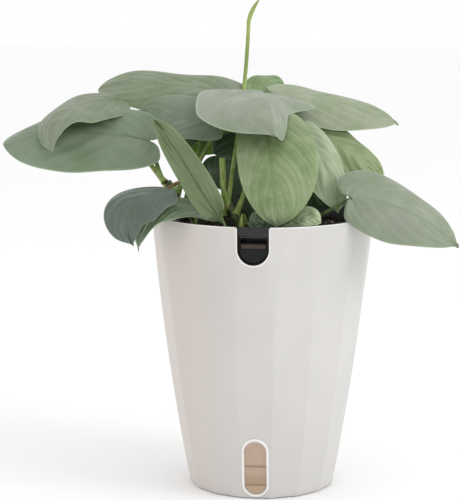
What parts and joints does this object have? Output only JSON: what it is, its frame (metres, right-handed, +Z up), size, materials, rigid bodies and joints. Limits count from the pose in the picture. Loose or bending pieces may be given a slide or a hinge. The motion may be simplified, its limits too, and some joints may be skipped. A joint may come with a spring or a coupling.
{
  "type": "potted foliage plant",
  "caption": "Potted plant with silvery heart-shaped leaves in a facetted self-watering pot with a filling notch, a water window and a lift-out liner.",
  "frame": {"origin": "centre of the pot's flat base", "axes": "+Z up; -Y towards the front, where the filling notch and the water window are; +X to the right seen from the front"},
  "size_m": [0.301, 0.1741, 0.3293],
  "materials": {
    "pot_white": "satin",
    "clear_plastic": "clear plastic, tinted by what lies behind it",
    "black_plastic": "satin",
    "amber_plastic": "gloss",
    "soil": "rough",
    "leaf_silver": "silvery satin",
    "leaf_green": "satin",
    "leaf_dark": "satin",
    "stem": "satin",
    "petiole": "satin"
  },
  "bodies": {
    "pot": {"outer_pot": "pot_white", "window_lens": "clear_plastic", "window_gasket": "black_plastic"},
    "liner": {"liner": "black_plastic", "fill_spout": "black_plastic", "spout_sill": "amber_plastic", "wick_basket": "black_plastic", "wick_soil": "soil", "potting_mix": "soil", "stem_left": "stem", "stem_centre": "stem", "stem_right": "stem", "new_leaf_stalk": "petiole", "new_leaf": "petiole", "cut_petiole": "petiole", "basal_shoot": "petiole", "leaf_far_left": "leaf_silver", "leaf_upper_left": "leaf_silver", "leaf_back_left": "leaf_silver", "leaf_under_left": "leaf_silver", "leaf_centre": "leaf_silver", "leaf_crown": "leaf_silver", "leaf_front": "leaf_green", "leaf_right": "leaf_silver", "leaf_upper_right": "leaf_silver", "leaf_front_right": "leaf_green", "leaf_back_right": "leaf_green", "leaf_lower_left": "leaf_dark", "leaf_rim_left": "leaf_green", "leaf_folded": "leaf_silver", "leaf_inner_left": "leaf_dark", "leaf_inner_right": "leaf_dark", "leaf_notch": "leaf_silver", "leaf_rim_right": "leaf_silver", "leaf_shaded": "leaf_dark", "leaf_rear_left": "leaf_silver", "leaf_rear": "leaf_silver", "leaf_rear_right": "leaf_silver", "petiole_far_left": "petiole", "petiole_upper_left": "petiole", "petiole_back_left": "petiole", "petiole_under_left": "petiole", "petiole_centre": "petiole", "petiole_crown": "petiole", "petiole_front": "petiole", "petiole_right": "petiole", "petiole_upper_right": "petiole", "petiole_front_right": "petiole", "petiole_back_right": "petiole", "petiole_lower_left": "petiole", "petiole_rim_left": "petiole", "petiole_folded": "petiole", "petiole_inner_left": "petiole", "petiole_inner_right": "petiole", "petiole_notch": "petiole", "petiole_rim_right": "petiole", "petiole_shaded": "petiole", "petiole_rear_left": "petiole", "petiole_rear": "petiole", "petiole_rear_right": "petiole"}
  },
  "joints": [
    {"name": "liner_lift", "type": "slide", "parent": "pot", "child": "liner", "axis": [0, 0, 1], "range_m": [0, 0.2]}
  ]
}
